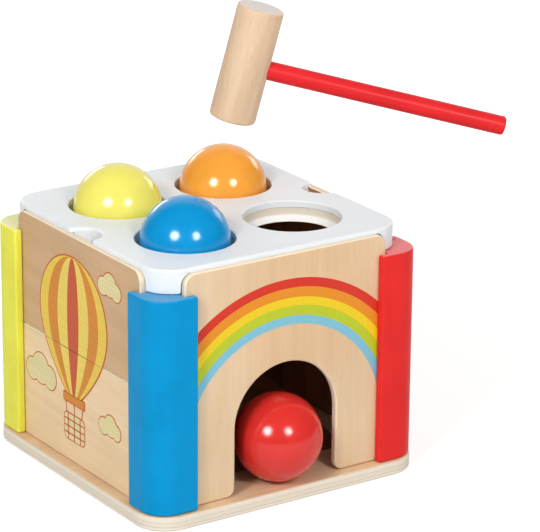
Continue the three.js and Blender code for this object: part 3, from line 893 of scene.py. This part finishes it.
def leg_section(z, shy=leg_shy):
    """The leg's outline at a height: the lid's corner, ended by the round corners of two panels."""
    centre, radius = plate_half - plate_round, plate_round - shy
    rise = max(0, min(z, rim_low) - panel_clear_at[1])
    end = panel_clear_at[0] + math.sqrt(panel_clear ** 2 - rise ** 2) + shy
    bend, middle = 74, 45
    if end < centre:
        outer = [(end, centre + radius), (centre, centre + radius)]
    else:
        first = math.degrees(math.acos((end - centre) / radius))
        outer = [arc(centre, centre, radius, a, a, 1)[0] for a in (first, (first + bend) / 2)]
    outer += arc(centre, centre, radius, bend, middle, 6)
    outer += [(y, x) for x, y in reversed(outer[:-1])]
    inside = leg_inside - shy
    inner = [
        (inside, end), (inside, leg_inner), (leg_inner, leg_inner), (leg_inner, inside), (end, inside),
    ]
    return at_height(outer + inner, z)


for quarter in range(4):
    bm = bmesh.new()
    levels = [leg_foot + leg_chamfer, leg_shoulder, panel_clear_at[1]]
    for step in range(1, 9):
        levels.append(panel_clear_at[1] + panel_clear_rise * math.sin(step / 8 * math.pi / 2))
    levels.append(leg_head)
    for rim in skin(bm, [leg_section(leg_foot, leg_chamfer)] + [leg_section(z) for z in levels]):
        bmesh.ops.contextual_create(bm, geom=rim)
    foot_face = min(bm.faces, key=lambda f: f.calc_center_median().z)
    drill(bm, foot_face, [(leg_place, leg_place)], [(dowel_bore, 0), (dowel_bore, leg_bore_end)], 20)
    turn_round(bm, quarter * math.pi / 2)
    bmesh.ops.recalc_face_normals(bm, faces=bm.faces)
    leg = bpy.data.meshes.new("leg")
    bm.to_mesh(leg)
    bm.free()
    lid.from_mesh(leg)
    bpy.data.meshes.remove(leg)

white_plastic, shader, add = new_material("satin_white_plastic")
place = on_toy(add)
spark = noise(add, place, scale=2600, rough=0.6)
flow = noise(add, place, scale=22, detail=3, twist=0.6)
milky = tones(add, flow, [(0.3, srgb(231, 235, 238)), (0.7, srgb(238, 241, 243))])
connect(shader, {
    "Base Color": milky, "Roughness": ranged(add, spark, wanted=(0.30, 0.42)),
    "Normal": bumped(add, spark, 0.06, 0.00008), "Specular IOR Level": 0.4,
})
finished("lid_moulding", lid, [white_plastic], "bench", ["top_plate"])


# Grip rings
# A soft moulded ring pressed into each collar: a wall that lines the hole, and a sloping lip that the
# ball sits on until a blow stretches it. It is off-white; its wall is painted darker beige as shade under
# the lid, and its lip paler as painted light where it faces up.

ring_outer, ring_inner, ring_low, ring_high = 0.0261, 0.0249, 0.1186, 0.1258
lip_edge, lip_over, lip_under, lip_foot, lip_root = 0.0214, 0.1198, 0.11945, 0.0242, 0.1217
lip_round, root_round, ring_round = 0.00014, 0.0009, 0.0003

ring_rubber, shader, add = new_material("grip_rubber")
place = on_toy(add)
level = ranged(add, part_of(add, place, "Z"), (ring_low, ring_high))
mottle = noise(add, place, scale=1400, detail=3)
# Painted light and shade by height: the lip at the foot is pale where light falls on it, the wall above is
# darker beige as shade under the lid.
tone = tones(add, level, [
    (0.0, srgb(240, 239, 235)), (0.42, srgb(241, 240, 236)), (0.52, srgb(226, 216, 200)),
    (1.0, srgb(222, 211, 194)),
])
speck = tones(add, mottle, [(0.3, (0.95, 0.945, 0.935, 1)), (0.6, grey(1.01))])
tone = mixed(add, 0.8, tone, speck, "MULTIPLY")
connect(shader, {
    "Base Color": tone, "Roughness": ranged(add, mottle, wanted=(0.5, 0.68)),
    "Normal": bumped(add, mottle, 0.1, 0.0001),
})
for corner, (sx, sy) in toy_corners.items():
    bm = bmesh.new()
    lip = [(lip_edge, 0, lip_over), (lip_edge, 0, lip_under)]
    back = [(ring_outer, 0, ring_low), (ring_outer, 0, ring_high), (ring_inner, 0, ring_high)]
    root = (ring_inner, 0, lip_root)
    bm.faces.new([bm.verts.new(p) for p in (*lip, (lip_foot, 0, ring_low), *back, root)])
    round_corners(bm, lip, lip_round, 2)
    round_corners(bm, [root], root_round, 4)
    round_corners(bm, back, ring_round, 2)
    bmesh.ops.delete(bm, geom=list(bm.faces), context="FACES_ONLY")
    lathe(bm, [*bm.verts, *bm.edges], hole_sides)
    bmesh.ops.translate(bm, vec=(sx * ball_place, sy * ball_place, 0), verts=bm.verts)
    node = f"grip_ring_{corner}"
    finished(f"ring_{corner}", bm, [ring_rubber], "bench", [node], sharp=50)


# Balls
# Turned beech balls, 45 mm across, tumbled in several coats of high-gloss lacquer. Each keeps a small
# dimple at its foot, where the lathe's centre held it. Three sit in rings and one lies in the gate.

ball_radius, dimple = 0.02249, 0.0004
ball_colours = {
    "blue": srgb(0, 146, 208), "yellow": srgb(240, 230, 106), "orange": srgb(247, 165, 60),
    "red": srgb(223, 49, 43),
}
for name, colour in ball_colours.items():
    low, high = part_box(f"ball_{name}")
    spot = (Vector(low) + Vector(high)) / 2
    bm = bmesh.new()
    bmesh.ops.create_uvsphere(bm, u_segments=72, v_segments=36, radius=ball_radius)
    pole = [v for v in bm.verts if v.co.z < -ball_radius + 10 * hair]
    bmesh.ops.translate(bm, vec=(0, 0, dimple), verts=pole)
    bmesh.ops.translate(bm, vec=spot, verts=bm.verts)
    gloss = lacquer(
        f"{name}_ball_gloss", colour, None, rough=0.15, telegraph=0.15, peel=0.15, shine=0.55,
    )
    finished(
        f"{name}_ball_turned", bm, [gloss], f"{name}_ball", [f"ball_{name}"], sharp=60,
    )


# Hammer
# A beech head, turned and left natural under clear lacquer, with rounded rims, and a red dowel handle
# glued into a blind hole in its side. It is raised over the orange ball.

hammer_face = (0.0333, 0.0262, 0.165566)
hammer_heading, hammer_tilt = math.radians(-30.4), math.radians(14.1)
hammer_turn = Matrix.Rotation(hammer_heading, 4, "Z") @ Matrix.Rotation(hammer_tilt, 4, "Y")
hammer_spot = Matrix.Translation(hammer_face) @ hammer_turn
head_radius, head_length, head_rounding = 0.012, 0.060, 0.0015
head_grain_turn = (0.02, -0.2513, 0.5323)
handle_radius, handle_height, handle_rounding = 0.0049, 0.0287, 0.0012
handle_depth, handle_reach = 0.017, 0.1249


def turned_rod(start, end, radius, sides, rounding, segments, spot):
    """A round rod between two points of its own axis, with its rims rounded over, put in its place."""
    bm = bmesh.new()
    bmesh.ops.create_cone(
        bm, cap_ends=True, segments=sides, radius1=radius, radius2=radius, depth=end - start,
        matrix=Matrix.Translation((0, 0, (start + end) / 2)),
    )
    soften(bm, edges_square_to(bm, 2), rounding, segments)
    bmesh.ops.transform(bm, matrix=spot, verts=bm.verts)
    return bm


head_beech, shader, add = new_material("beech_head")
pale, dark = srgb(231, 201, 170), srgb(221, 187, 154)
colour, fibres = grain(add, "Z", pale, dark, 1.0, (0.15, 0.45, 0.3), head_grain_turn, flecked=0.6)
head_axis = hammer_turn.col[2].to_3d()
along_head = measured(add, "DOT_PRODUCT", add("ShaderNodeNewGeometry").outputs["Normal"], head_axis)
ends = ranged(add, worked(add, "ABSOLUTE", along_head), (0.8, 0.95))
sawn = noise(add, on_toy(add), scale=900, detail=4, rough=0.7)
end_grain = tones(add, sawn, [(0.3, srgb(212, 199, 188)), (0.62, srgb(238, 229, 221))])
lacquered(add, shader, mixed(add, ends, colour, end_grain), fibres)
bm = turned_rod(0, head_length, head_radius, 72, head_rounding, 5, hammer_spot)
finished("hammer_head_turned", bm, [head_beech], "hammer", ["hammer_head"])

handle_red = lacquer("red_handle_lacquer", srgb(226, 42, 46), None, rough=0.3, telegraph=0.4, peel=0.4)
out_of_head = Matrix.Translation((0, 0, handle_height)) @ Matrix.Rotation(math.pi / 2, 4, "Y")
bm = turned_rod(
    head_radius - handle_depth, head_radius + handle_reach, handle_radius, 40, handle_rounding, 4,
    hammer_spot @ out_of_head,
)
finished("hammer_handle_dowel", bm, [handle_red], "hammer", ["hammer_handle"])


# Table, light and camera
# A white table, clear from below, and a white backdrop. Two round lamps light the toy, four more only
# show in its gloss, two soft boxes stand behind it, and the camera is where the photograph was taken.

table_level, table_half, contact = -0.0002, 6, 0.002
table_grey, table_mirrored = 0.66, 0.15
glow_near, glow_far, glow_reach = 0.52, 0.8, (0.3, 1.2)
surround_light, backdrop_way = 0.53, (0.556, 0.823, 0.12)
backdrop_spread, backdrop_light = (0.5, 0.92), (0.06, 1.0)
toy_middle = Vector((0, 0, 0.07))

scene = bpy.context.scene
scene.view_settings.view_transform = "Standard"

table_white, shader, add = new_material("table_white")
rays = add("ShaderNodeLightPath").outputs
mirrored = worked(add, "MULTIPLY", rays["Is Glossy Ray"], table_mirrored)
seen = worked(add, "MAXIMUM", rays["Is Camera Ray"], mirrored)
seen = worked(add, "MAXIMUM", seen, rays["Is Transmission Ray"])
away = measured(add, "LENGTH", on_toy(add))
far = ranged(add, away, glow_reach, (glow_near, glow_far), interpolation_type="SMOOTHSTEP")
connect(shader, {
    "Base Color": grey(table_grey), "Roughness": 0.9, "Specular IOR Level": 0.0,
    "Emission Color": grey(1), "Emission Strength": worked(add, "MULTIPLY", seen, far),
})
touching = worked(add, "LESS_THAN", rays["Ray Length"], contact)
touching = worked(add, "MULTIPLY", touching, rays["Is Diffuse Ray"])
below = worked(add, "MAXIMUM", add("ShaderNodeNewGeometry").outputs["Backfacing"], touching)
clear = add("ShaderNodeBsdfTransparent").outputs[0]
one_sided = add("ShaderNodeMixShader", {0: below, 1: shader.outputs[0], 2: clear}).outputs[0]
connect(table_white.node_tree.nodes["Material Output"], {"Surface": one_sided})
bm = bmesh.new()
bmesh.ops.create_grid(
    bm, x_segments=4, y_segments=4, size=table_half, matrix=Matrix.Translation((0, 0, table_level)),
)
mesh = bpy.data.meshes.new("table")
bm.to_mesh(mesh)
bm.free()
mesh.materials.append(table_white)
table = bpy.data.objects.new("table", mesh)
scene.collection.objects.link(table)

world = bpy.data.worlds.new("surround")
scene.world = world
world.use_nodes = True
add = node_adder(world.node_tree)
rays = add("ShaderNodeLightPath").outputs
toward = measured(add, "DOT_PRODUCT", add("ShaderNodeTexCoord").outputs["Generated"], backdrop_way)
backdrop = ranged(add, toward, backdrop_spread, backdrop_light, interpolation_type="SMOOTHSTEP")
lit = add("ShaderNodeMix", {0: rays["Is Glossy Ray"], 2: surround_light, 3: backdrop}, data_type="FLOAT")
plain = worked(add, "MAXIMUM", rays["Is Camera Ray"], rays["Is Transmission Ray"])
strength = add("ShaderNodeMix", {0: plain, 2: lit.outputs[0], 3: 1.0}, data_type="FLOAT").outputs[0]
connect(world.node_tree.nodes["Background"], {"Color": grey(1), "Strength": strength})


def bearing(azimuth, elevation):
    """The way from the toy to a point at an azimuth and elevation, in degrees."""
    a, e = math.radians(azimuth), math.radians(elevation)
    return Vector((math.sin(a) * math.cos(e), -math.cos(a) * math.cos(e), math.sin(e)))


lamps = {
    "left_key": ((-61, 33, 1.6), 0.08, "DISK", (0.34, 0.34), 10.4, "shades"),
    "right_key": ((-2, 33, 1.6), 0.08, "DISK", (0.4, 0.4), 7.8, "shades"),
    "left_halo": ((-62, 30, 1.6), 0.08, "DISK", (0.64, 0.64), 10.2, "shines"),
    "right_halo": ((-2, 29, 1.6), 0.08, "DISK", (0.54, 0.54), 7.8, "shines"),
    "left_glint": ((-62, 30, 1.58), 0.08, "DISK", (0.46, 0.46), 7, "shines"),
    "right_glint": ((-2, 29, 1.58), 0.08, "DISK", (0.36, 0.36), 3.6, "shines"),
    "right_rim_box": ((108, 19, 1.3), 0.1, "RECTANGLE", (0.42, 0.30), 1.4, "both"),
    "left_rim_box": ((170, 13, 1.3), 0.1, "RECTANGLE", (0.42, 0.22), 1.2, "both"),
}
for name, ((azimuth, elevation, distance), aim, shape, (width, height), power, use) in lamps.items():
    light = bpy.data.lights.new(name, "AREA")
    light.shape = shape
    light.size = width
    light.size_y = height
    light.energy = power
    lamp = bpy.data.objects.new(name, light)
    lamp.location = bearing(azimuth, elevation) * distance + toy_middle
    lamp.rotation_euler = (Vector((0, 0, aim)) - lamp.location).to_track_quat("-Z", "Y").to_euler()
    lamp.visible_glossy = use != "shades"
    lamp.visible_diffuse = use != "shines"
    scene.collection.objects.link(lamp)

camera_place = (-0.785319, -1.218550, 0.599020)
camera_azimuth, camera_elevation, camera_roll = -34.103, 18.998, math.radians(0.505)
focal_pixels, picture_width, sensor_width = 3043.11, 540, 36

back = bearing(camera_azimuth, camera_elevation)
right = Vector((math.cos(math.radians(camera_azimuth)), math.sin(math.radians(camera_azimuth)), 0))
up = back.cross(right)
turned_right = right * math.cos(camera_roll) + up * math.sin(camera_roll)
turned_up = up * math.cos(camera_roll) - right * math.sin(camera_roll)
lens = bpy.data.cameras.new("camera")
lens.sensor_fit = "HORIZONTAL"
lens.sensor_width = sensor_width
lens.lens = focal_pixels / picture_width * sensor_width
camera = bpy.data.objects.new("camera", lens)
camera_turn = Matrix((turned_right, turned_up, back)).transposed().to_4x4()
camera.matrix_world = Matrix.Translation(camera_place) @ camera_turn
scene.collection.objects.link(camera)
scene.camera = camera

bpy.context.view_layer.update()
